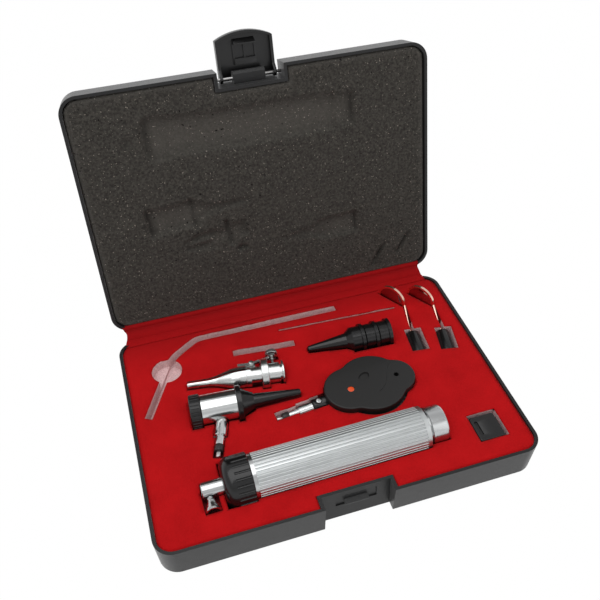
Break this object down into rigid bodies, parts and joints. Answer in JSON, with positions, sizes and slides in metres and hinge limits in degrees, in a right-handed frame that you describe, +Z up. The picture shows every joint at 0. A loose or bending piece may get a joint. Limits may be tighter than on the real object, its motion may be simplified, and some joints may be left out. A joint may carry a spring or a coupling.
{
  "type": "otoscope carry case",
  "caption": "Shallow hinged case with a lined tray that holds a battery handle, an otoscope head, an ophthalmoscope head, a nasal speculum and their small parts.",
  "frame": {"origin": "middle of the flat underside of the base", "axes": "+X to the right along the long side seen from the latch side, +Y towards the hinge, +Z up"},
  "size_m": [0.24, 0.2362, 0.2058],
  "materials": {
    "shell": "fine moulded grain",
    "foam": "cut open-cell foam",
    "lid_foam": "open-cell foam, pressed in places",
    "red_felt": "short flock",
    "steel": "turned",
    "chrome": "bright plated",
    "black_plastic": "satin moulded",
    "brass": "turned",
    "insulator": "fibre board",
    "cell_jacket": "printed-free jacket",
    "lamp_glass": "clear",
    "clear_glass": "polished",
    "amber": "clear amber",
    "mirror_glass": "silvered",
    "box_plastic": "moulded"
  },
  "bodies": {
    "base": {"base_shell": "shell", "tray_foam": "foam", "tray_felt": "red_felt", "hinge_strip": "red_felt", "hinge_pins": "steel"},
    "lid": {"lid_shell": "shell", "lid_foam": "lid_foam", "latch_pin": "steel"},
    "latch": {"latch_flap": "shell"},
    "handle": {"handle_tube": "chrome", "handle_neck": "chrome", "contact_bush": "black_plastic", "contact_pin": "brass", "rheostat_track": "insulator", "battery_1": "cell_jacket", "battery_2": "cell_jacket"},
    "collar": {"rheostat_collar": "black_plastic"},
    "cap": {"handle_cap": "chrome", "cap_spring": "steel"},
    "clamp": {"clamp_screw": "chrome"},
    "otoscope": {"oto_barrel": "chrome", "speculum_holder": "black_plastic", "oto_stem": "chrome", "oto_lamp": "lamp_glass", "oto_insulator": "black_plastic", "oto_contact": "brass"},
    "eyepiece": {"eyepiece_ring": "black_plastic", "magnifier_lens": "clear_glass"},
    "ear_speculum": {"ear_speculum": "black_plastic"},
    "nasal_speculum": {"nasal_body": "chrome", "nasal_collar": "chrome", "nasal_blade_fixed": "chrome", "nasal_rivet": "steel"},
    "nasal_blade": {"nasal_blade": "chrome"},
    "nasal_screw": {"nasal_screw": "chrome"},
    "ophthalmoscope": {"oph_back": "black_plastic", "oph_front": "black_plastic", "dial_window": "amber", "wheel_pin": "steel", "oph_lamp": "lamp_glass", "oph_neck": "black_plastic", "neck_screw": "steel", "oph_stem": "chrome", "oph_insulator": "black_plastic", "oph_contact": "brass"},
    "lens_wheel": {"lens_wheel": "black_plastic", "wheel_lenses": "clear_glass"},
    "spare_specula": {"spare_speculum_1": "black_plastic", "spare_speculum_2": "black_plastic", "spare_speculum_3": "black_plastic"},
    "mirror_1": {"mirror_frame_1": "chrome", "mirror_glass_1": "mirror_glass", "mirror_sleeve_1": "black_plastic"},
    "mirror_2": {"mirror_frame_2": "chrome", "mirror_glass_2": "mirror_glass", "mirror_sleeve_2": "black_plastic"},
    "bulb_box": {"bulb_box": "box_plastic", "spare_bulb": "lamp_glass"},
    "bulb_lid": {"bulb_lid": "box_plastic"}
  },
  "joints": [
    {"name": "lid_hinge", "type": "hinge", "parent": "base", "child": "lid", "pos_m": [0, 0.0885, 0.0227], "axis": [1, 0, 0], "range_deg": [0, 104.4], "deforming": ["lid_foam", "hinge_strip"]},
    {"name": "latch_hinge", "type": "hinge", "parent": "lid", "child": "latch", "pos_m": [0, 0.14, 0.17983], "axis": [1, 0, 0], "range_deg": [0, 90]},
    {"name": "handle_lift", "type": "slide", "parent": "base", "child": "handle", "axis": [0, 0, -1], "range_m": [-0.06, 0]},
    {"name": "collar_turn", "type": "hinge", "parent": "handle", "child": "collar", "pos_m": [0, -0.0476, 0.0236], "axis": [0.9999, 0.0133, 0], "range_deg": [0, 270]},
    {"name": "cap_turn", "type": "hinge", "parent": "handle", "child": "cap", "pos_m": [0, -0.0476, 0.0236], "axis": [0.9999, 0.0133, 0], "continuous": true},
    {"name": "clamp_turn", "type": "hinge", "parent": "handle", "child": "clamp", "pos_m": [-0.08309, -0.0487, 0.0236], "axis": [0.0133, -0.9999, 0], "continuous": true},
    {"name": "otoscope_lift", "type": "slide", "parent": "base", "child": "otoscope", "axis": [0, 0, -1], "range_m": [-0.06, 0]},
    {"name": "eyepiece_turn", "type": "hinge", "parent": "otoscope", "child": "eyepiece", "pos_m": [-0.08243, 0.00793, 0.026], "axis": [0.9976, -0.0698, 0], "continuous": true},
    {"name": "speculum_twist", "type": "hinge", "parent": "otoscope", "child": "ear_speculum", "pos_m": [-0.08243, 0.00793, 0.026], "axis": [0.9976, -0.0698, 0], "range_deg": [0, 40]},
    {"name": "nasal_lift", "type": "slide", "parent": "base", "child": "nasal_speculum", "axis": [0, 0, -1], "range_m": [-0.06, 0]},
    {"name": "nasal_screw_turn", "type": "hinge", "parent": "nasal_speculum", "child": "nasal_screw", "pos_m": [-0.02226, 0.02398, 0.0283], "axis": [0.1323, 0.9912, 0], "range_deg": [0, 1260]},
    {"name": "blade_open", "type": "hinge", "parent": "nasal_speculum", "child": "nasal_blade", "pos_m": [-0.03528, 0.03379, 0.025], "axis": [0, 0, -1], "range_deg": [0, 10.5]},
    {"name": "ophthalmoscope_lift", "type": "slide", "parent": "base", "child": "ophthalmoscope", "axis": [0, 0, -1], "range_m": [-0.06, 0]},
    {"name": "lens_wheel_turn", "type": "hinge", "parent": "ophthalmoscope", "child": "lens_wheel", "pos_m": [0.0368, -0.0045, 0.02], "axis": [0, 0, 1], "continuous": true},
    {"name": "specula_lift", "type": "slide", "parent": "base", "child": "spare_specula", "axis": [0, 0, -1], "range_m": [-0.06, 0]},
    {"name": "mirror_1_lift", "type": "slide", "parent": "base", "child": "mirror_1", "axis": [0, 0, -1], "range_m": [-0.06, 0]},
    {"name": "mirror_2_lift", "type": "slide", "parent": "base", "child": "mirror_2", "axis": [0, 0, -1], "range_m": [-0.06, 0]},
    {"name": "bulb_box_lift", "type": "slide", "parent": "base", "child": "bulb_box", "axis": [0, 0, -1], "range_m": [-0.04, 0]},
    {"name": "bulb_lid_lift", "type": "slide", "parent": "bulb_box", "child": "bulb_lid", "axis": [0, 0, -1], "range_m": [-0.02, 0]}
  ],
  "couplings": [
    {"joint": "nasal_screw_turn", "follows": "blade_open", "ratio": 120}
  ]
}
